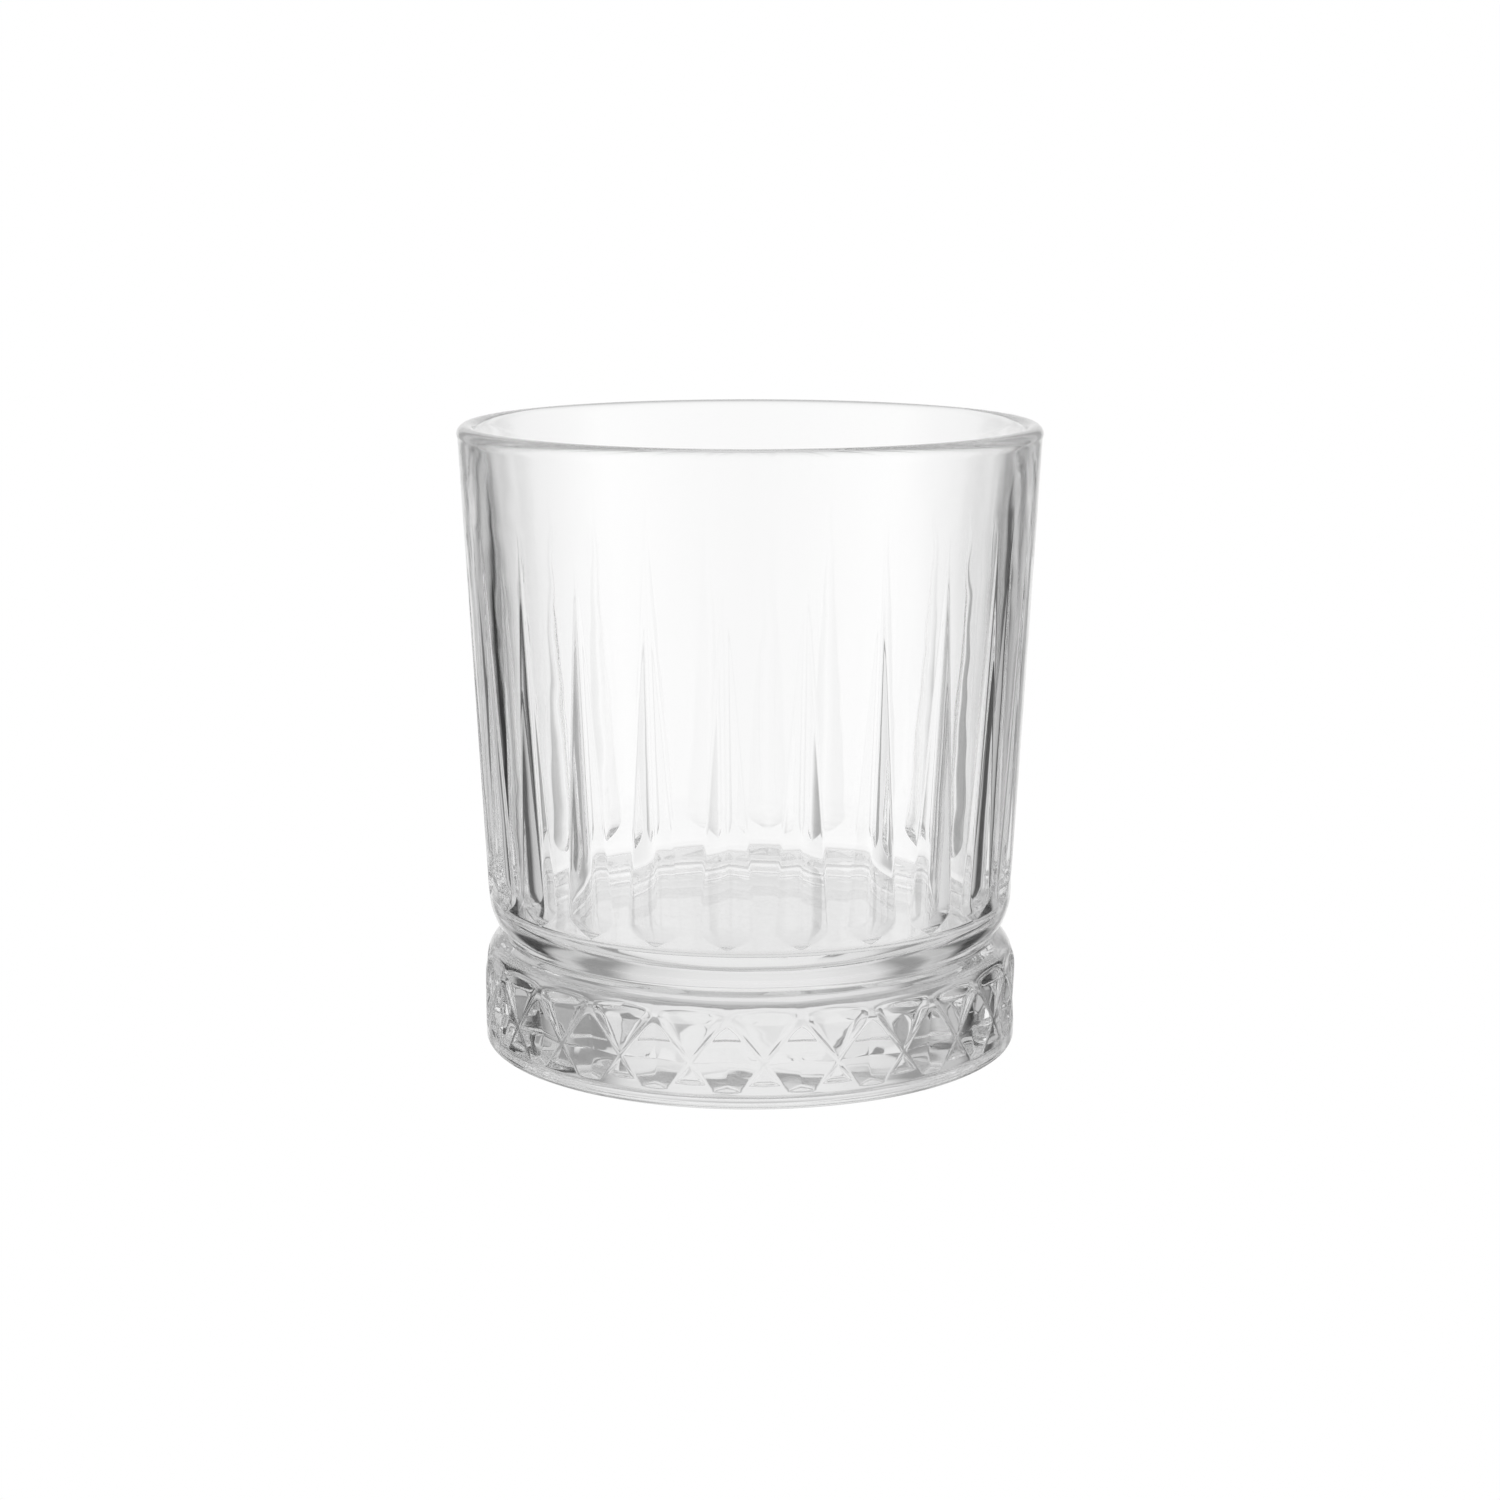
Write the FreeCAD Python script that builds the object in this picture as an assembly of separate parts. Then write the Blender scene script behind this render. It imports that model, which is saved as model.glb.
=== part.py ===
import FreeCAD, Part
import math
import os

# Whiskey tumbler: one piece of clear pressed glass, in millimetres.
# +Z runs up the axis of the glass. The origin is on that axis, in the plane of the
# ring that the glass stands on. One spear cut and one diamond are centred on -Y.

# Overall
HEIGHT = 90.7
PATTERN_COUNT = 24              # spear cuts and diamonds around the glass

# Rim: a small fire-polished roll
RIM_RADIUS = 42.07
RIM_ROLL = 1.35                 # radius of the roll's section
RIM_LEAN = 9.5                  # degrees the inside slants where it meets the roll

# Conical outer wall, from the bulge up to the rim
WALL_FOOT_RADIUS = 38.5
WALL_FOOT_Z = 22.3
WALL_FLARE = 0.0515             # growth in radius for each millimetre of height

# Waist groove between the cup and the foot
WAIST_RADIUS = 36.1
WAIST_Z = 16.3

# Foot: faceted band under a round shoulder
BAND_RADIUS = 39.2
BAND_TOP_Z = 11.2
FOOT_ROUND = 1.0                # rounding under the band
RING_INNER_RADIUS = 34.5        # inner edge of the flat standing ring
RECESS_RADIUS = 32.0            # flat middle of the shallow recess inside the ring
RECESS_HEIGHT = 0.8

# Cavity for the drink
CAVITY_FLOOR_Z = 20.85
CAVITY_FLOOR_RADIUS = 34.4      # where the wall would meet the floor with no rounding
CAVITY_FLARE = 0.055            # growth in radius for each millimetre of height
CAVITY_ROUND = 1.2

# Spear cut: a V groove, widest just above its rounded end, that runs out to a point above
SPEAR_DEPTH = 1.15
SPEAR_HALF_WIDTH = 3.75
SPEAR_TIP_Z = 75.8
SPEAR_WIDEST_Z = 25.4
SPEAR_END_Z = 22.4
SPEAR_CLEARANCE = 0.12          # how far the cutter's lower end stands off the wall
SPEAR_OVERRUN = 8.0             # how far the cutter runs on past the tip
SPEAR_REACH = 1.3               # how far the cutter stands out from its valley

# Diamond band: narrow lands in a lattice of crosses, with sunk cells between them
CROSS_Z = 6.6
NODE_Z = 12.7                   # where two lands meet at the top
LAND_WIDTH = 0.65
DIAMOND_DEPTH = 1.0
DIAMOND_FOOT_Z = 2.7
PANE_DEPTH = 0.7                # triangular pane above a cross
PANE_CREASE_Z = 12.0            # the pane turns upright here and runs out on the shoulder
CHIP_DEPTH = 0.35               # small triangle below a cross
CHIP_FOOT_Z = 3.6
FLANK_SLOPE = 0.6               # depth for each millimetre across a cell's side wall
CELL_REACH = 2.0                # how far a cell's cutter stands out from the band

PITCH_ANGLE = 360.0 / PATTERN_COUNT
HALF_PITCH = math.pi * BAND_RADIUS / PATTERN_COUNT
FIRST_CUT_ANGLE = -90.0


def profile_point(radius, z):
    return FreeCAD.Vector(radius, 0, z)


def wall_radius(z):
    return WALL_FOOT_RADIUS + WALL_FLARE * (z - WALL_FOOT_Z)


def arc_from_tangent(start, tangent, end):
    """Arc that leaves start along tangent and stops at end."""
    chord = end - start
    direction = FreeCAD.Vector(tangent).normalize()
    side = chord - direction * chord.dot(direction)
    side.normalize()
    radius = chord.dot(chord) / (2 * chord.dot(side))
    centre = start + side * radius
    middle = centre + ((start + end) * 0.5 - centre).normalize() * radius
    return Part.Arc(start, middle, end).toShape()


def line(start, end):
    return Part.LineSegment(start, end).toShape()


def rounded_corner(before, corner, after, radius):
    """Arc of the given radius that touches both straight lines at the corner."""
    to_before = (before - corner).normalize()
    to_after = (after - corner).normalize()
    half_angle = to_before.getAngle(to_after) / 2
    reach = radius / math.tan(half_angle)
    bisector = (to_before + to_after).normalize()
    centre = corner + bisector * (radius / math.sin(half_angle))
    start = corner + to_before * reach
    end = corner + to_after * reach
    return start, Part.Arc(start, centre - bisector * radius, end).toShape(), end


def rim_neck(roll_centre):
    """Point where the conical wall meets the rim's roll, on the roll's lower outer side."""
    offset = wall_radius(roll_centre.z) - roll_centre.x
    a = 1 + WALL_FLARE ** 2
    b = 2 * WALL_FLARE * offset
    c = offset ** 2 - RIM_ROLL ** 2
    z = roll_centre.z + (-b - math.sqrt(b * b - 4 * a * c)) / (2 * a)
    return profile_point(wall_radius(z), z)


def outer_edges(roll_centre):
    """Half-section from the middle of the underside, up the outside, to the rim's neck."""
    recess_middle = profile_point(0, RECESS_HEIGHT)
    recess_edge = profile_point(RECESS_RADIUS, RECESS_HEIGHT)
    ring_inner = profile_point(RING_INNER_RADIUS, 0)
    ring_outer = profile_point(BAND_RADIUS - FOOT_ROUND, 0)
    band_foot = profile_point(BAND_RADIUS, FOOT_ROUND)
    band_top = profile_point(BAND_RADIUS, BAND_TOP_Z)
    waist = profile_point(WAIST_RADIUS, WAIST_Z)
    wall_foot = profile_point(WALL_FOOT_RADIUS, WALL_FOOT_Z)
    down_the_wall = FreeCAD.Vector(-WALL_FLARE, 0, -1)
    return [
        line(recess_middle, recess_edge),
        arc_from_tangent(recess_edge, FreeCAD.Vector(1, 0, 0), ring_inner),
        line(ring_inner, ring_outer),
        arc_from_tangent(ring_outer, FreeCAD.Vector(1, 0, 0), band_foot),
        line(band_foot, band_top),
        arc_from_tangent(band_top, FreeCAD.Vector(0, 0, 1), waist),
        arc_from_tangent(wall_foot, down_the_wall, waist),
        line(wall_foot, rim_neck(roll_centre)),
    ]


def inner_edges(roll_centre):
    """Half-section over the rim, down the inside, to the middle of the cavity's floor.

    Just below the rim the wall thickens along an arc that touches the roll and the inner wall.
    """
    lean = math.radians(RIM_LEAN)
    rim_up = FreeCAD.Vector(math.sin(lean), 0, math.cos(lean))
    wall_up = FreeCAD.Vector(CAVITY_FLARE, 0, 1).normalize()
    rim_top = profile_point(roll_centre.x, HEIGHT)
    roll_end = roll_centre + FreeCAD.Vector(-math.cos(lean), 0, math.sin(lean)) * RIM_ROLL
    corner = profile_point(CAVITY_FLOOR_RADIUS, CAVITY_FLOOR_Z)
    reach = (roll_end - corner).cross(wall_up).y / rim_up.cross(wall_up).y
    full_wall = roll_end - (rim_up + wall_up) * reach
    floor_middle = profile_point(0, CAVITY_FLOOR_Z)
    wall_end, corner_arc, floor_start = rounded_corner(full_wall, corner, floor_middle, CAVITY_ROUND)
    return [
        Part.Arc(rim_neck(roll_centre), rim_top, roll_end).toShape(),
        arc_from_tangent(roll_end, rim_up * -1, full_wall),
        line(full_wall, wall_end),
        corner_arc,
        line(floor_start, floor_middle),
    ]


def turned_body():
    """The plain glass before any cut: its half-section turned about +Z."""
    roll_centre = profile_point(RIM_RADIUS - RIM_ROLL, HEIGHT - RIM_ROLL)
    axis_edge = line(profile_point(0, CAVITY_FLOOR_Z), profile_point(0, RECESS_HEIGHT))
    edges = outer_edges(roll_centre) + inner_edges(roll_centre) + [axis_edge]
    section = Part.Face(Part.Wire(Part.__sortEdges__(edges)))
    return section.revolve(FreeCAD.Vector(0, 0, 0), FreeCAD.Vector(0, 0, 1), 360)


def spear_valley_point(z):
    """Point on the straight valley of a spear cut, which meets the wall at the cut's tip."""
    progress = (z - SPEAR_WIDEST_Z) / (SPEAR_TIP_Z - SPEAR_WIDEST_Z)
    return profile_point(wall_radius(z) - SPEAR_DEPTH * (1 - progress), z)


def spear_cutter():
    """V-shaped cutter, on +X, swept along the valley of one spear cut."""
    widest = spear_valley_point(SPEAR_WIDEST_Z)
    past_tip = spear_valley_point(SPEAR_TIP_Z + SPEAR_OVERRUN)
    end = profile_point(wall_radius(SPEAR_END_Z) + SPEAR_CLEARANCE, SPEAR_END_Z)
    valley = Part.Wire([
        arc_from_tangent(widest, FreeCAD.Vector(-WALL_FLARE, 0, -1), end),
        line(widest, past_tip),
    ])
    wall_fall = SPEAR_HALF_WIDTH ** 2 / (2 * wall_radius(SPEAR_WIDEST_Z))
    spread = SPEAR_REACH * SPEAR_HALF_WIDTH / (SPEAR_DEPTH - wall_fall)
    to_left = FreeCAD.Vector(SPEAR_REACH, -spread, 0)
    to_right = FreeCAD.Vector(SPEAR_REACH, spread, 0)
    outer_line = valley.copy()
    outer_line.translate(to_left)
    skins = [valley.extrude(to_left), valley.extrude(to_right), outer_line.extrude(to_right - to_left)]
    faces = [face for skin in skins for face in skin.Faces]
    for tip in (end, past_tip):
        faces.append(Part.Face(Part.makePolygon([tip, tip + to_left, tip + to_right, tip])))
    shell = Part.makeShell(faces)
    shell.sewShape()
    return Part.makeSolid(shell)


def band_point(across, z, depth):
    """Point in the band: across is measured round it from +X, depth inwards from its face."""
    angle = across / BAND_RADIUS
    radius = BAND_RADIUS - depth
    return FreeCAD.Vector(radius * math.cos(angle), radius * math.sin(angle), z)


def cell_cutter(faces, foot_z, top_z):
    """Block over the band, trimmed to the outer side of every plane given as three points."""
    block = Part.makeBox(
        2 * CELL_REACH,
        2 * HALF_PITCH,
        top_z - foot_z,
        FreeCAD.Vector(BAND_RADIUS - CELL_REACH, -HALF_PITCH, foot_z),
    )
    for first, second, third in faces:
        normal = (second - first).cross(third - first).normalize()
        inwards = normal if normal.x < 0 else normal * -1
        plane = Part.Plane(first, inwards).toShape(-BAND_RADIUS, BAND_RADIUS, -BAND_RADIUS, BAND_RADIUS)
        block = block.cut(plane.extrude(inwards * BAND_RADIUS))
    return block


def land_edge(along, side, up):
    """Point on the edge of a land, at the distance along from its cross to its node.

    side is -1 or 1, up is 1 above the cross and -1 below it. The point is measured from
    the cross at zero, on the edge that faces the triangle above or below that cross.
    """
    rise = NODE_Z - CROSS_Z
    inset = LAND_WIDTH / 2 * math.hypot(HALF_PITCH, rise) / HALF_PITCH
    return side * along * HALF_PITCH, CROSS_Z + up * (inset + along * rise)


def flank_faces(up, flank_depth):
    """Side walls of a triangle cell: each starts on a land's edge and slopes inwards."""
    faces = []
    for side in (-1, 1):
        near = land_edge(0, side, up)
        far = land_edge(1, side, up)
        across = flank_depth / FLANK_SLOPE
        faces.append((
            band_point(near[0], near[1], 0),
            band_point(far[0], far[1], 0),
            band_point(far[0] - side * across, far[1], flank_depth),
        ))
    return faces


def level_face(low_z, low_depth, high_z, high_depth):
    """Face that stays level from side to side and leans between two heights."""
    start = band_point(0, low_z, low_depth)
    return start, start + FreeCAD.Vector(0, HALF_PITCH, 0), band_point(0, high_z, high_depth)


def sill_face(foot_z):
    """Face that closes a cell at its foot and climbs inwards."""
    return level_face(foot_z, 0, foot_z + CELL_REACH, CELL_REACH * FLANK_SLOPE)


def diamond_cutter():
    """Sunk four-sided pyramid, on +X, squared off at the foot of the band."""
    rise = NODE_Z - CROSS_Z
    half_land = LAND_WIDTH / 2 * math.hypot(HALF_PITCH, rise)
    half_width = HALF_PITCH - half_land / rise
    half_height = rise - half_land / HALF_PITCH
    apex = band_point(0, CROSS_Z, DIAMOND_DEPTH)
    faces = []
    for side in (-1, 1):
        for up in (-1, 1):
            corner = band_point(side * half_width, CROSS_Z, 0)
            point = band_point(0, CROSS_Z + up * half_height, 0)
            faces.append((corner, point, apex))
    faces.append(sill_face(DIAMOND_FOOT_Z))
    return cell_cutter(faces, 0, NODE_Z)


def pane_cutter():
    """Triangular pane above a cross, on +X: it leans in, turns upright and meets the shoulder."""
    foot_z = land_edge(0, 1, 1)[1]
    leaning = level_face(foot_z, 0, PANE_CREASE_Z, PANE_DEPTH)
    upright = level_face(PANE_CREASE_Z, PANE_DEPTH, NODE_Z, PANE_DEPTH)
    return cell_cutter(flank_faces(1, PANE_DEPTH) + [leaning, upright], CROSS_Z, WAIST_Z)


def chip_cutter():
    """Small triangle below a cross, on +X, closed by a sloping face at its foot."""
    top_z = land_edge(0, 1, -1)[1]
    leaning = level_face(top_z, 0, CHIP_FOOT_Z, CHIP_DEPTH)
    return cell_cutter(flank_faces(-1, CHIP_DEPTH) + [leaning, sill_face(CHIP_FOOT_Z)], 0, CROSS_Z)


def ring_of(shape, start_angle):
    """Copies of a shape around +Z, one for each pitch of the pattern."""
    copies = []
    for index in range(PATTERN_COUNT):
        copy = shape.copy()
        angle = start_angle + index * PITCH_ANGLE
        copy.rotate(FreeCAD.Vector(0, 0, 0), FreeCAD.Vector(0, 0, 1), angle)
        copies.append(copy)
    return copies


def glass_body():
    """The tumbler: the turned body with its spear cuts and its diamond band."""
    between_cuts = FIRST_CUT_ANGLE + PITCH_ANGLE / 2
    cutters = ring_of(spear_cutter(), FIRST_CUT_ANGLE)
    cutters += ring_of(diamond_cutter(), FIRST_CUT_ANGLE)
    cutters += ring_of(pane_cutter(), between_cuts)
    cutters += ring_of(chip_cutter(), between_cuts)
    return turned_body().cut(cutters)


os.makedirs("parts", exist_ok=True)
glass_body().exportStep("parts/glass_body.step")
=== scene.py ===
import math

import bmesh
import bpy
import numpy as np
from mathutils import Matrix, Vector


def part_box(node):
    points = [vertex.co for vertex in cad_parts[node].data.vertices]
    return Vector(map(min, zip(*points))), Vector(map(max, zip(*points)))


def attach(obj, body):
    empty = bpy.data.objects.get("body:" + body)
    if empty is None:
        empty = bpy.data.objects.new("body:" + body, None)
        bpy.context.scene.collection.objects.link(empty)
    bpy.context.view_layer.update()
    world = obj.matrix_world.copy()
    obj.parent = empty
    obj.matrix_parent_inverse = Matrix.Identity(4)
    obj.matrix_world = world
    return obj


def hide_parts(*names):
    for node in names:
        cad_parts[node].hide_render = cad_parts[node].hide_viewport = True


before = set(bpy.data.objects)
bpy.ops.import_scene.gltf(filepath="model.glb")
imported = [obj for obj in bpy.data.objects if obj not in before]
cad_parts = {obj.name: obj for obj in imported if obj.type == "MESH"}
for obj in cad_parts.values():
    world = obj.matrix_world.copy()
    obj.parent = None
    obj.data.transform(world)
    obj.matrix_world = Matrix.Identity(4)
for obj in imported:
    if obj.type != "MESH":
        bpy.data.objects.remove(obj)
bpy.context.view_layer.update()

# All lengths below are in millimetres unless the name says otherwise; the scene is in metres.
MM = 0.001
LOW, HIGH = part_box("glass_body")
HEIGHT = (HIGH.z - LOW.z) / MM
RIM_RADIUS = min(HIGH.x - LOW.x, HIGH.y - LOW.y) / 2 / MM

# ---------------------------------------------------------------- shape of the glass

PATTERN_COUNT = 24
RIM_ROLL = 1.35
RIM_LEAN = math.radians(9.5)   # slant of the inside of the wall where it meets the rolled rim
WALL_FOOT_RADIUS = 38.5
WALL_FOOT_Z = 22.3
WALL_FLARE = 0.0515
WAIST_RADIUS = 36.1
WAIST_Z = 16.3
WAIST_SOFTNESS = 0.35
BAND_RADIUS = 39.2
BAND_TOP_Z = 11.2
FOOT_ROUND = 1.0
RING_INNER_RADIUS = 34.5
RECESS_RADIUS = 32.0
RECESS_HEIGHT = 0.8
CAVITY_FLOOR_Z = 20.85
CAVITY_FLOOR_RADIUS = 34.4
CAVITY_LEAN = math.atan(0.055)
CAVITY_ROUND = 1.2

SPEAR_HALF_WIDTH = 3.75
SPEAR_SLOPE = math.tan(math.radians(17.0))
SPEAR_ROUND = 0.6               # how wide the rounding in the bottom of a spear cut is
SPEAR_TIP_Z = 75.8
SPEAR_WIDEST_Z = 25.4
SPEAR_END_Z = 22.4

CROSS_Z = 6.6
NODE_Z = 12.7
LAND_WIDTH = 0.65
DIAMOND_DEPTH = 1.0
DIAMOND_FOOT_Z = 2.7
PANE_DEPTH = 0.7
PANE_CREASE_Z = 12.0
CHIP_DEPTH = 0.35
CHIP_FOOT_Z = 3.6
FLANK_SLOPE = 0.6

EDGE_SOFTNESS = 0.05            # how far fire-polishing has worn back an edge of the band
SPEAR_SOFTNESS = 0.05           # the same on the wall

HALF_PITCH_ANGLE = math.pi / PATTERN_COUNT
HALF_PITCH = BAND_RADIUS * HALF_PITCH_ANGLE
FIRST_CUT_ANGLE = -math.pi / 2
BAND_RISE = NODE_Z - CROSS_Z


def wall_radius(z):
    return WALL_FOOT_RADIUS + WALL_FLARE * (z - WALL_FOOT_Z)


def soft_min(a, b, softness=EDGE_SOFTNESS):
    """The smaller of two radii, with the edge where they meet rounded off."""
    blend = np.maximum(softness - np.abs(a - b), 0) / softness
    return np.minimum(a, b) - blend ** 2 * softness / 4


def soft_max(a, b, softness=EDGE_SOFTNESS):
    return -soft_min(-a, -b, softness)


# ---------------------------------------------------------------- cuts in the outer surface

def spear_half_width(z):
    """Half the width of a spear cut: a long point above, a rounded end below."""
    if z > SPEAR_WIDEST_Z:
        progress = (z - SPEAR_WIDEST_Z) / (SPEAR_TIP_Z - SPEAR_WIDEST_Z)
        return SPEAR_HALF_WIDTH * max(1 - progress, 0)
    progress = (SPEAR_WIDEST_Z - z) / (SPEAR_WIDEST_Z - SPEAR_END_Z)
    return SPEAR_HALF_WIDTH * max(1 - progress ** 2, 0)


def spear_surface(angle, z):
    """Radius of the spear cut centred on angle 0: two flanks with a rounded valley between."""
    side = math.hypot(spear_half_width(z), SPEAR_ROUND)
    across = np.hypot(np.sin(angle) * wall_radius(z), SPEAR_ROUND)
    return wall_radius(z) - SPEAR_SLOPE * (side - across)


def band_point(across, z, depth):
    """Point in the band: across is measured round it, depth inwards from its face."""
    angle = across / BAND_RADIUS
    radius = BAND_RADIUS - depth
    return np.array([radius * math.cos(angle), radius * math.sin(angle), z])


def plane_surface(points, angle, z):
    """Radius at which the plane through three points meets the ray at each angle and height."""
    first, second, third = points
    normal = np.cross(second - first, third - first)
    across = normal[0] * np.cos(angle) + normal[1] * np.sin(angle)
    return (normal @ first - normal[2] * z) / across


def cell_surface(faces, angle, z):
    """Radius of a sunk cell whose faces are planes: the outermost face wins."""
    surface = plane_surface(faces[0], angle, z)
    for face in faces[1:]:
        surface = soft_max(surface, plane_surface(face, angle, z))
    return surface


def diamond_faces():
    """Sunk four-sided pyramid, squared off at the foot of the band."""
    half_land = LAND_WIDTH / 2 * math.hypot(HALF_PITCH, BAND_RISE)
    half_width = HALF_PITCH - half_land / BAND_RISE
    half_height = BAND_RISE - half_land / HALF_PITCH
    apex = band_point(0, CROSS_Z, DIAMOND_DEPTH)
    faces = []
    for side in (-1, 1):
        for up in (-1, 1):
            corner = band_point(side * half_width, CROSS_Z, 0)
            point = band_point(0, CROSS_Z + up * half_height, 0)
            faces.append((corner, point, apex))
    faces.append(sill_face(DIAMOND_FOOT_Z))
    return faces


def sill_face(foot_z):
    """Face that closes a cell at its foot, through points one millimetre apart."""
    return (
        band_point(-1, foot_z, 0),
        band_point(1, foot_z, 0),
        band_point(0, foot_z + 1, FLANK_SLOPE),
    )


def level_face(low_z, low_depth, high_z, high_depth):
    """Face that stays level from side to side and leans between two heights."""
    start = band_point(0, low_z, low_depth)
    sideways = np.array([0, 1, 0])
    return start, start + sideways, band_point(0, high_z, high_depth)


def triangle_faces(up, depth):
    """Side walls of a triangle above (up = 1) or below (up = -1) a cross, and its sharp end."""
    inset = LAND_WIDTH / 2 * math.hypot(HALF_PITCH, BAND_RISE) / HALF_PITCH
    near_z = CROSS_Z + up * inset
    far_z = near_z + up * BAND_RISE
    walls = []
    for side in (-1, 1):
        wall_foot = side * (HALF_PITCH - depth / FLANK_SLOPE)
        walls.append((
            band_point(0, near_z, 0),
            band_point(side * HALF_PITCH, far_z, 0),
            band_point(wall_foot, far_z, depth),
        ))
    return walls, near_z


def pane_faces():
    """Triangular pane above a cross: it leans in, then turns upright."""
    walls, near_z = triangle_faces(1, PANE_DEPTH)
    leaning = level_face(near_z, 0, PANE_CREASE_Z, PANE_DEPTH)
    upright = level_face(PANE_CREASE_Z, PANE_DEPTH, NODE_Z, PANE_DEPTH)
    return walls + [leaning, upright]


def chip_faces():
    """Small triangle below a cross, closed by a sloping face at its foot."""
    walls, near_z = triangle_faces(-1, CHIP_DEPTH)
    return walls + [level_face(near_z, 0, CHIP_FOOT_Z, CHIP_DEPTH), sill_face(CHIP_FOOT_Z)]


DIAMOND = diamond_faces()
PANE = pane_faces()
CHIP = chip_faces()


def cut_radius(plain, angle, z):
    """Radius of the finished outer surface, where plain is its radius before any cut.

    angle is measured from the middle of a spear cut, which is also the middle of a diamond.
    """
    if z > WAIST_Z:
        return soft_min(plain, spear_surface(angle, z), SPEAR_SOFTNESS)
    from_cross = np.abs(angle) - HALF_PITCH_ANGLE
    surface = soft_min(plain, cell_surface(DIAMOND, angle, z))
    if z > CROSS_Z:
        return soft_min(surface, cell_surface(PANE, from_cross, z))
    return soft_min(surface, cell_surface(CHIP, from_cross, z))


# ---------------------------------------------------------------- mesh of the glass

CREASE_OFFSETS = (0.08, 0.22)   # extra mesh lines on each side of an edge
CREASE_GAP = 0.286              # an ordinary mesh line this close to an edge is left out
PLAIN_COUNT = 288               # points around a ring with no cuts
SAME_ANGLE = 1e-9               # angles closer than this are one mesh line
WELD = 0.004                    # points closer than this become one

BAND_STEP = 0.42                # height between rings in the band
CUT_TOP_Z = NODE_Z + 1.6        # the panes have run out on the shoulder below this height
SPEAR_END_STEP = 0.22           # height between rings at the rounded ends of the spear cuts
SPEAR_FULL_Z = 34               # rings are closer together below this height than above it
ROLL_NECK_DROP = 0.6            # how far below the centre of the rim's roll the wall meets it


def even_steps(start, end, count):
    """count values spaced evenly between start and end, without either end."""
    return list(np.linspace(start, end, count + 2)[1:-1])


def half_columns(edge, half_land):
    """Distances from the middle of a cut to the middle of the next panel, for one ring.

    edge is where the cut's side lies in this ring, so mesh lines follow the side.
    """
    near, far = CREASE_OFFSETS
    inner = edge - half_land
    outer = edge + half_land
    columns = [0, near, far]
    columns += even_steps(far, max(inner - far, far), 4)
    columns += [inner - far, inner - near, inner + near, edge, outer - near]
    columns += [outer + near, outer + far]
    columns += even_steps(min(outer + far, HALF_PITCH), HALF_PITCH, 5)
    columns.append(HALF_PITCH)
    return np.sort(np.clip(columns, 0, HALF_PITCH)) / BAND_RADIUS


def cut_columns(edge, half_land):
    """Angles round one whole pitch, from the middle of a cut."""
    half = half_columns(edge, half_land)
    return np.concatenate([half, 2 * HALF_PITCH_ANGLE - half[-2:0:-1]])


def band_edge(z):
    """Distance from the middle of a diamond to the middle of its land."""
    if z >= CROSS_Z:
        return HALF_PITCH * max(NODE_Z - z, 0) / BAND_RISE
    lowest = max(z, DIAMOND_FOOT_Z)
    return HALF_PITCH * (1 - (CROSS_Z - lowest) / BAND_RISE)


def spear_edge(z):
    """Distance from the valley of a spear cut to its side, measured round the band."""
    return spear_half_width(z) * BAND_RADIUS / wall_radius(z)


class Ring:
    """One closed loop of mesh points, in order of angle."""

    def __init__(self, mesh, angles, radii, z):
        self.angles = angles
        self.points = []
        for angle, radius in zip(angles, radii):
            turned = FIRST_CUT_ANGLE + angle
            place = (radius * math.cos(turned) * MM, radius * math.sin(turned) * MM, z * MM)
            self.points.append(mesh.verts.new(place))


def plain_ring(mesh, radius, z, count=PLAIN_COUNT):
    """Ring of evenly spaced points, with no cuts in it."""
    angles = np.arange(count) * 2 * math.pi / count
    return Ring(mesh, angles, np.full(count, radius), z)


def cut_ring(mesh, plain, z, edge, half_land):
    """Ring through the cuts: the same columns and radii repeat for every pitch."""
    pitch = cut_columns(edge, half_land)
    folded = np.where(pitch > HALF_PITCH_ANGLE, pitch - 2 * HALF_PITCH_ANGLE, pitch)
    radii = cut_radius(plain, folded, z)
    angles = np.concatenate([pitch + 2 * HALF_PITCH_ANGLE * k for k in range(PATTERN_COUNT)])
    return Ring(mesh, angles, np.tile(radii, PATTERN_COUNT), z)


def bridge(mesh, below, above):
    """Faces between two rings, which may have different numbers of points."""
    i = 0
    j = 0
    count_i = len(below.points)
    count_j = len(above.points)
    full_turn = [2 * math.pi]
    angles_i = np.concatenate([below.angles, full_turn])
    angles_j = np.concatenate([above.angles, full_turn])
    same_grid = count_i == count_j
    while i < count_i or j < count_j:
        a = below.points[i % count_i]
        b = above.points[j % count_j]
        next_i = angles_i[i + 1] if i < count_i else math.inf
        next_j = angles_j[j + 1] if j < count_j else math.inf
        if same_grid or abs(next_i - next_j) < SAME_ANGLE:
            corners = [a, below.points[(i + 1) % count_i], above.points[(j + 1) % count_j], b]
            i += 1
            j += 1
        elif next_i < next_j:
            corners = [a, below.points[(i + 1) % count_i], b]
            i += 1
        else:
            corners = [a, above.points[(j + 1) % count_j], b]
            j += 1
        mesh.faces.new(corners)


def close_centre(mesh, ring, z, facing_up):
    """Fan of triangles that closes a small ring at the axis."""
    centre = mesh.verts.new((0, 0, z * MM))
    for a, b in zip(ring.points, ring.points[1:] + ring.points[:1]):
        mesh.faces.new([a, b, centre] if facing_up else [b, a, centre])


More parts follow.
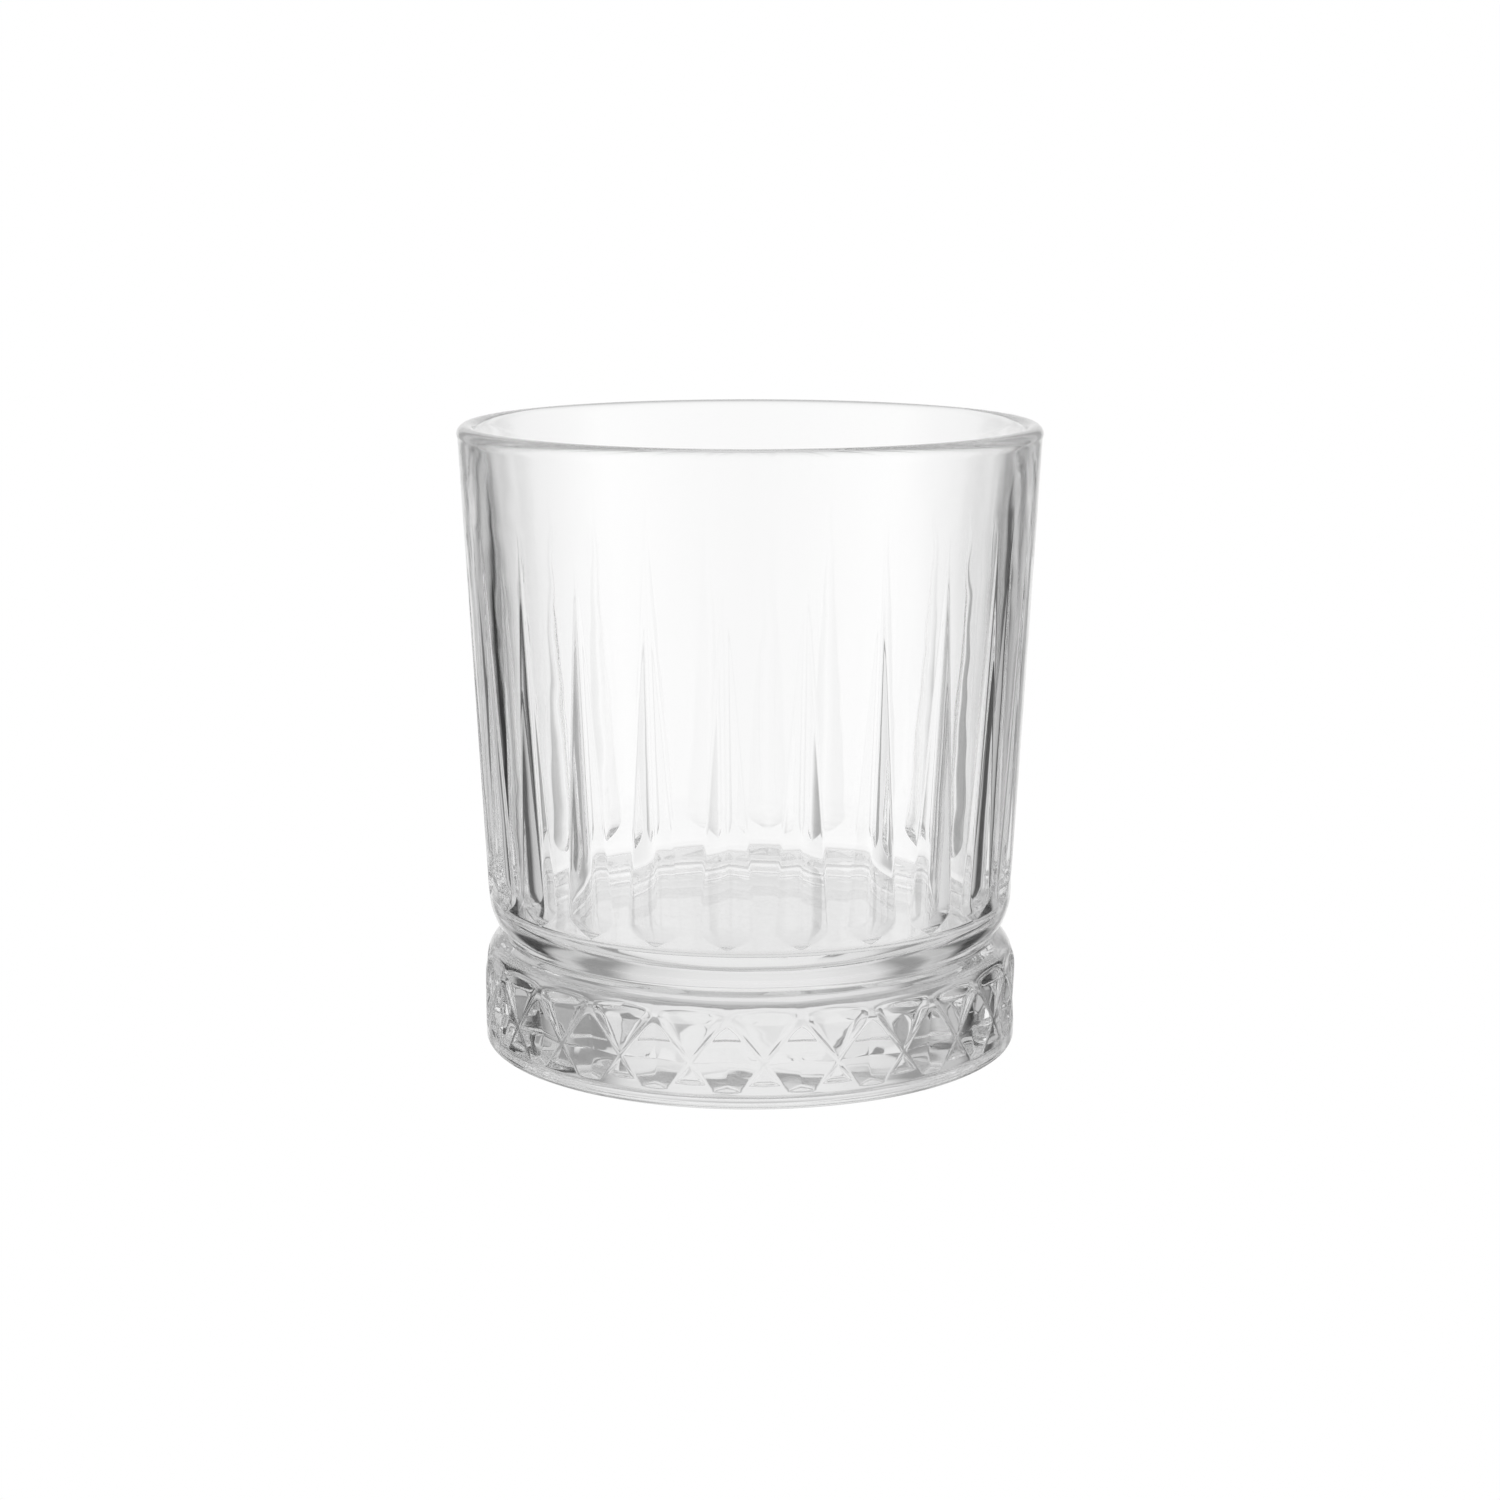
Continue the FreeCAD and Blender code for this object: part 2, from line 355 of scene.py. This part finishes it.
def tangent_arc(start, direction, end, steps):
    """Points of the arc that leaves start along direction and stops at end, both included."""
    start, end = np.array(start), np.array(end)
    along = np.array(direction) / np.linalg.norm(direction)
    chord = end - start
    side = chord - along * (chord @ along)
    side /= np.linalg.norm(side)
    radius = (chord @ chord) / (2 * (chord @ side))
    sweep = 2 * math.atan2(chord @ side, chord @ along)
    turns = np.linspace(0, sweep, steps + 1)[:, None]
    return start + radius * (np.sin(turns) * along + (1 - np.cos(turns)) * side)


def heights(start, end, step, creases=()):
    """Heights from start to end, with extra ones on each side of every crease."""
    levels = list(np.linspace(start, end, math.ceil((end - start) / step) + 1))
    for crease in creases:
        levels = [z for z in levels if abs(z - crease) > CREASE_GAP]
        levels.append(crease)
        for offset in CREASE_OFFSETS:
            levels += [crease - offset, crease + offset]
    return sorted(levels)


def foot_rings(mesh):
    """Underside: shallow flat recess, standing ring and rounded edge, from the axis out."""
    counts = (18, 36, 72, 144, 288)
    radii = np.linspace(0, RECESS_RADIUS, len(counts) + 1)[1:]
    rings = [plain_ring(mesh, r, RECESS_HEIGHT, count) for r, count in zip(radii, counts)]
    step = tangent_arc((RECESS_RADIUS, RECESS_HEIGHT), (1, 0), (RING_INNER_RADIUS, 0), 6)
    rings += [plain_ring(mesh, r, z) for r, z in step[1:]]
    ring_outer = BAND_RADIUS - FOOT_ROUND
    ring_width = ring_outer - RING_INNER_RADIUS
    for share in (0.05, 0.5, 0.95):
        rings.append(plain_ring(mesh, RING_INNER_RADIUS + share * ring_width, 0))
    rounding = tangent_arc((ring_outer, 0), (1, 0), (BAND_RADIUS, FOOT_ROUND), 6)
    rings += [plain_ring(mesh, r, z) for r, z in rounding]
    return rings


def shoulder_radius(z):
    """Radius of the band, and of the round shoulder above it, before any cut."""
    if z <= BAND_TOP_Z:
        return BAND_RADIUS
    rise = WAIST_Z - BAND_TOP_Z
    drop = BAND_RADIUS - WAIST_RADIUS
    radius = (rise ** 2 + drop ** 2) / (2 * drop)
    return BAND_RADIUS - radius + math.sqrt(radius ** 2 - (z - BAND_TOP_Z) ** 2)


def band_rings(mesh):
    """Diamond band and the lower shoulder that its panes cut into."""
    creases = (DIAMOND_FOOT_Z, CHIP_FOOT_Z, CROSS_Z, PANE_CREASE_Z)
    levels = heights(DIAMOND_FOOT_Z - 0.4, CUT_TOP_Z, BAND_STEP, creases)
    return [
        cut_ring(mesh, shoulder_radius(z), z, band_edge(z), LAND_WIDTH / 2)
        for z in levels
    ]


def waist_rings(mesh):
    """Upper shoulder, softened waist groove and bulge, up to the foot of the spear cuts."""
    rings = []
    for z in np.linspace(CUT_TOP_Z + 0.3, WAIST_Z - WAIST_SOFTNESS * 0.6, 7):
        rings.append(plain_ring(mesh, shoulder_radius(z), z))
    bulge = tangent_arc(
        (WALL_FOOT_RADIUS, WALL_FOOT_Z), (-WALL_FLARE, -1), (WAIST_RADIUS, WAIST_Z), 16
    )[::-1]
    groove = (WAIST_RADIUS + WAIST_SOFTNESS * 0.3, WAIST_Z)
    rings.append(plain_ring(mesh, *groove))
    for r, z in bulge:
        if WAIST_Z + WAIST_SOFTNESS < z < SPEAR_END_Z - 0.3:
            rings.append(plain_ring(mesh, r, z))
    return rings


def wall_rings(mesh):
    """Wall with the spear cuts, from their rounded ends to just above their tips."""
    low = heights(SPEAR_END_Z - 0.15, SPEAR_WIDEST_Z, SPEAR_END_STEP)
    middle = np.linspace(SPEAR_WIDEST_Z, SPEAR_FULL_Z, 8)[1:]
    high = np.linspace(SPEAR_FULL_Z, SPEAR_TIP_Z + 1.5, 23)[1:]
    rings = []
    for z in [*low, *middle, *high]:
        rings.append(cut_ring(mesh, wall_radius(z), z, spear_edge(z), CREASE_OFFSETS[0]))
    return rings


def rim_rings(mesh):
    """Plain upper wall and the rolled rim, over to the inside of the glass."""
    roll_z = HEIGHT - RIM_ROLL
    roll_r = RIM_RADIUS - RIM_ROLL
    neck_z = roll_z - ROLL_NECK_DROP
    wall_levels = np.linspace(SPEAR_TIP_Z + 3, neck_z - 0.4, 9)
    rings = [plain_ring(mesh, wall_radius(z), z) for z in wall_levels]
    start = math.atan2(neck_z - roll_z, wall_radius(neck_z) - roll_r)
    for turn in np.linspace(start, math.pi - RIM_LEAN, 18):
        r = roll_r + RIM_ROLL * math.cos(turn)
        z = roll_z + RIM_ROLL * math.sin(turn)
        rings.append(plain_ring(mesh, r, z))
    return rings


def cavity_rings(mesh):
    """Inside of the glass: the arc below the rim, the conical wall, the corner and the floor."""
    roll_end = np.array([
        RIM_RADIUS - RIM_ROLL - RIM_ROLL * math.cos(RIM_LEAN),
        HEIGHT - RIM_ROLL + RIM_ROLL * math.sin(RIM_LEAN),
    ])
    rim_up = np.array([math.sin(RIM_LEAN), math.cos(RIM_LEAN)])
    wall_up = np.array([math.sin(CAVITY_LEAN), math.cos(CAVITY_LEAN)])
    corner = np.array([CAVITY_FLOOR_RADIUS, CAVITY_FLOOR_Z])
    gap = roll_end - corner
    length = (gap[0] * wall_up[1] - gap[1] * wall_up[0]) / math.sin(RIM_LEAN - CAVITY_LEAN)
    wall_top = roll_end - length * (rim_up + wall_up)
    reach = CAVITY_ROUND * math.tan((math.pi / 2 - CAVITY_LEAN) / 2)
    wall_foot = corner + reach * wall_up
    floor_edge = CAVITY_FLOOR_RADIUS - reach
    points = list(tangent_arc(roll_end, -rim_up, wall_top, 14)[1:])
    points += [wall_top + share * (wall_foot - wall_top) for share in np.linspace(0, 1, 10)[1:-1]]
    points += list(tangent_arc(wall_foot, wall_foot - wall_top, (floor_edge, CAVITY_FLOOR_Z), 10))
    rings = [plain_ring(mesh, r, z) for r, z in points]
    counts = (288, 144, 144, 72, 36, 18)
    radii = np.linspace(floor_edge, 0, len(counts) + 2)[1:-1]
    rings += [plain_ring(mesh, r, CAVITY_FLOOR_Z, count) for r, count in zip(radii, counts)]
    return rings


def build_glass():
    """The whole tumbler as one closed mesh."""
    mesh = bmesh.new()
    rings = []
    for part in (foot_rings, band_rings, waist_rings, wall_rings, rim_rings, cavity_rings):
        rings += part(mesh)
    for below, above in zip(rings, rings[1:]):
        bridge(mesh, below, above)
    close_centre(mesh, rings[0], RECESS_HEIGHT, facing_up=False)
    close_centre(mesh, rings[-1], CAVITY_FLOOR_Z, facing_up=True)
    bmesh.ops.remove_doubles(mesh, verts=mesh.verts, dist=WELD * MM)
    bmesh.ops.recalc_face_normals(mesh, faces=mesh.faces)
    data = bpy.data.meshes.new("tumbler_glass")
    mesh.to_mesh(data)
    mesh.free()
    data.shade_smooth()
    glass = bpy.data.objects.new("tumbler_glass", data)
    bpy.context.scene.collection.objects.link(glass)
    weighted = glass.modifiers.new("facet_normals", "WEIGHTED_NORMAL")
    weighted.keep_sharp = False
    return glass


# ---------------------------------------------------------------- materials

def add_node(tree, kind, **values):
    """Adds a shader node; a value whose name is a socket sets it, and any other is a property."""
    node = tree.nodes.new(kind)
    for name, value in values.items():
        socket = node.inputs.get(name.replace("_", " "))
        if socket is not None:
            socket.default_value = value
        else:
            setattr(node, name, value)
    return node


ABSORPTION = 2.0                # light falls off as exp(-ABSORPTION * metres of glass)
BODY_TINT = 0.5                 # tone of the glass in depth; it scales the density needed
REFRACTIVE_INDEX = 1.52

# Unevenness left in the pressed surface: how deep it is and how far apart its swells are.
WAVE_DEPTH = 0.06
WAVE_LENGTH = 9.0


def pressed_waviness(tree):
    """Normals of a surface with slow, shallow swells."""
    place = add_node(tree, "ShaderNodeTexCoord")
    swell = add_node(tree, "ShaderNodeTexNoise", Scale=1 / (WAVE_LENGTH * MM), Detail=1.0)
    tree.links.new(place.outputs["Object"], swell.inputs["Vector"])
    bump = add_node(tree, "ShaderNodeBump", Distance=WAVE_DEPTH * MM)
    tree.links.new(swell.outputs["Fac"], bump.inputs["Height"])
    return bump.outputs["Normal"]


def glass_material():
    """Clear, colourless pressed glass: it dims with depth, and its surface is slightly wavy."""
    material = bpy.data.materials.new("clear_pressed_glass")
    material.use_nodes = True
    tree = material.node_tree
    tree.nodes.clear()
    output = add_node(tree, "ShaderNodeOutputMaterial")
    shader = add_node(
        tree, "ShaderNodeBsdfPrincipled",
        Base_Color=(1, 1, 1, 1), IOR=REFRACTIVE_INDEX, Transmission_Weight=1.0, Roughness=0.0,
    )
    tree.links.new(pressed_waviness(tree), shader.inputs["Normal"])
    tree.links.new(shader.outputs["BSDF"], output.inputs["Surface"])
    body = add_node(
        tree, "ShaderNodeVolumeAbsorption",
        Color=(BODY_TINT, BODY_TINT, BODY_TINT, 1), Density=ABSORPTION / (1 - BODY_TINT),
    )
    tree.links.new(body.outputs["Volume"], output.inputs["Volume"])
    return material


# ---------------------------------------------------------------- studio

CAMERA_DISTANCE = 432           # level distance from the axis of the glass
CAMERA_HEIGHT = 128.4
CAMERA_AZIMUTH = math.radians(4.6)
CAMERA_PITCH = math.radians(11.23)
LENS = 72
SENSOR_WIDTH = 36
LIGHT_BOUNCES = 64              # light crosses many faces inside cut glass

# Brightness of the studio against its bearing from straight behind the glass, in degrees to the
# right. Two black cards with a grey strip inside each stand behind the glass, and two light boxes
# stand beside the camera.
AROUND = (
    (-180, 0.95), (-140, 1.2), (-110, 1.3), (-90, 0.8), (-75, 0.65), (-62, 0.5), (-57, 0.04),
    (-43, 0.04), (-38, 0.55), (-32, 0.6), (-29, 0.3), (-25, 0.3), (-20, 0.8), (-10, 0.94),
    (0, 0.96), (9, 0.94), (18, 0.8), (23, 0.3), (28, 0.3), (32, 0.65), (37, 0.6), (41, 0.03),
    (52, 0.03), (57, 0.5), (80, 0.7), (95, 0.9), (110, 1.35), (150, 1.1), (180, 0.95),
)
BRIGHTEST = 2.0                 # a ramp holds tones up to 1, so they are stored as shares of this
ABOVE = 0.75
OVERHEAD = 0.45
BELOW = 0.48

# Where one tone gives way to the next, as sines of the angle above or below level.
ABOVE_SPAN = (0.26, 0.86)
OVERHEAD_SPAN = (0.6, 1.0)
BELOW_SPAN = (0.5, 0.95)

# The floor under the glass is darker, a painted shadow of the glass, out to a soft edge given in
# metres.
SHADOW_UNDER_GLASS = 0.75
SHADOW_EDGE = (0.036, 0.040)
FLOOR_RADIUS = 3.0
FLOOR_SIDES = 96
FLOOR_GAP = 0.2                 # millimetres between the floor and the standing ring


def add_camera():
    """Camera a little above the rim, looking slightly down on the glass."""
    data = bpy.data.cameras.new("camera")
    data.sensor_width = SENSOR_WIDTH
    data.lens = LENS
    data.clip_start = 0.01
    camera = bpy.data.objects.new("camera", data)
    camera.location = (
        math.sin(CAMERA_AZIMUTH) * CAMERA_DISTANCE * MM,
        -math.cos(CAMERA_AZIMUTH) * CAMERA_DISTANCE * MM,
        CAMERA_HEIGHT * MM,
    )
    camera.rotation_euler = (math.pi / 2 - CAMERA_PITCH, 0, CAMERA_AZIMUTH)
    bpy.context.scene.collection.objects.link(camera)
    bpy.context.scene.camera = camera


def math_node(tree, operation, first, second=0.0):
    """Maths node; first and second are numbers or sockets."""
    node = add_node(tree, "ShaderNodeMath", operation=operation)
    for socket, value in zip(node.inputs, (first, second)):
        if isinstance(value, (int, float)):
            socket.default_value = value
        else:
            tree.links.new(value, socket)
    return node.outputs[0]


def blend(tree, share, first, second):
    """first where share is 0 and second where it is 1."""
    rest = math_node(tree, "SUBTRACT", 1.0, share)
    from_first = math_node(tree, "MULTIPLY", rest, first)
    from_second = math_node(tree, "MULTIPLY", share, second)
    return math_node(tree, "ADD", from_first, from_second)


def rise(tree, value, low, high):
    """0 below low, 1 above high and a smooth step between them."""
    node = add_node(tree, "ShaderNodeMapRange", interpolation_type="SMOOTHSTEP")
    node.inputs["From Min"].default_value = low
    node.inputs["From Max"].default_value = high
    tree.links.new(value, node.inputs["Value"])
    return node.outputs["Result"]


def ramp(tree, bearing, stops):
    """Tone at a bearing, straight lines between (degrees, tone) stops."""
    node = add_node(tree, "ShaderNodeValToRGB")
    elements = node.color_ramp.elements
    while len(elements) < len(stops):
        elements.new(0.5)
    for element, (degrees, tone) in zip(elements, stops):
        element.position = degrees / 360 + 0.5
        element.color = (tone / BRIGHTEST, tone / BRIGHTEST, tone / BRIGHTEST, 1)
    turn = math_node(tree, "MULTIPLY", bearing, 1 / (2 * math.pi))
    tree.links.new(math_node(tree, "ADD", turn, 0.5), node.inputs["Fac"])
    return math_node(tree, "MULTIPLY", node.outputs["Color"], BRIGHTEST)


def studio_tone(tree):
    """Brightness of the studio along the ray being followed."""
    ray = add_node(tree, "ShaderNodeNewGeometry").outputs["Incoming"]
    away = add_node(tree, "ShaderNodeVectorMath", operation="SCALE")
    away.inputs["Scale"].default_value = -1
    tree.links.new(ray, away.inputs[0])
    turn = add_node(tree, "ShaderNodeVectorTransform", vector_type="VECTOR")
    turn.convert_from = "WORLD"
    turn.convert_to = "CAMERA"
    tree.links.new(away.outputs[0], turn.inputs[0])
    level = add_node(tree, "ShaderNodeVectorRotate", rotation_type="X_AXIS")
    level.inputs["Angle"].default_value = CAMERA_PITCH
    tree.links.new(turn.outputs[0], level.inputs["Vector"])
    split = add_node(tree, "ShaderNodeSeparateXYZ")
    tree.links.new(level.outputs[0], split.inputs[0])
    bearing = math_node(tree, "ARCTAN2", split.outputs["X"], split.outputs["Z"])
    height = split.outputs["Y"]
    around = ramp(tree, bearing, AROUND)
    upper = blend(tree, rise(tree, height, *OVERHEAD_SPAN), ABOVE, OVERHEAD)
    tone = blend(tree, rise(tree, height, *ABOVE_SPAN), around, upper)
    depth = math_node(tree, "MULTIPLY", height, -1.0)
    return blend(tree, rise(tree, depth, *BELOW_SPAN), tone, BELOW)


def shown_white(tree, tone):
    """Plain white where the camera looks straight at it, and tone where the glass does."""
    direct = add_node(tree, "ShaderNodeLightPath").outputs["Is Camera Ray"]
    return blend(tree, direct, tone, 1.0)


def add_floor():
    """Pale floor that glows like the studio, with a painted shadow of the glass under it."""
    mesh = bmesh.new()
    bmesh.ops.create_circle(mesh, cap_ends=True, segments=FLOOR_SIDES, radius=FLOOR_RADIUS)
    data = bpy.data.meshes.new("studio_floor")
    mesh.to_mesh(data)
    mesh.free()
    floor = bpy.data.objects.new("studio_floor", data)
    floor.location.z = LOW.z - FLOOR_GAP * MM
    bpy.context.scene.collection.objects.link(floor)
    material = bpy.data.materials.new("pale_floor_painted_shadow")
    material.use_nodes = True
    tree = material.node_tree
    tree.nodes.clear()
    output = add_node(tree, "ShaderNodeOutputMaterial")
    glow = add_node(tree, "ShaderNodeEmission", Color=(1, 1, 1, 1))
    place = add_node(tree, "ShaderNodeTexCoord")
    reach = add_node(tree, "ShaderNodeVectorMath", operation="LENGTH")
    tree.links.new(place.outputs["Object"], reach.inputs[0])
    # painted shadow: the glowing floor is dimmer under the glass and fades back out at a soft
    # edge
    clear_of_shadow = rise(tree, reach.outputs["Value"], *SHADOW_EDGE)
    tone = blend(tree, clear_of_shadow, SHADOW_UNDER_GLASS, studio_tone(tree))
    tree.links.new(shown_white(tree, tone), glow.inputs["Strength"])
    tree.links.new(glow.outputs["Emission"], output.inputs["Surface"])
    data.materials.append(material)


def add_world():
    """Backdrop all round: the studio's tones in the glass, and white behind it."""
    world = bpy.data.worlds.new("studio")
    world.use_nodes = True
    tree = world.node_tree
    tree.nodes.clear()
    output = add_node(tree, "ShaderNodeOutputWorld")
    backdrop = add_node(tree, "ShaderNodeBackground", Color=(1, 1, 1, 1))
    tree.links.new(shown_white(tree, studio_tone(tree)), backdrop.inputs["Strength"])
    tree.links.new(backdrop.outputs["Background"], output.inputs["Surface"])
    bpy.context.scene.world = world


def set_look():
    """Plain colour handling, and enough bounces for light to get through the glass."""
    scene = bpy.context.scene
    scene.view_settings.view_transform = "Standard"
    scene.cycles.max_bounces = LIGHT_BOUNCES
    scene.cycles.transmission_bounces = LIGHT_BOUNCES
    scene.cycles.glossy_bounces = LIGHT_BOUNCES


glass = build_glass()
glass.data.materials.append(glass_material())
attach(glass, "root")
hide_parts("glass_body")
add_floor()
add_world()
add_camera()
set_look()
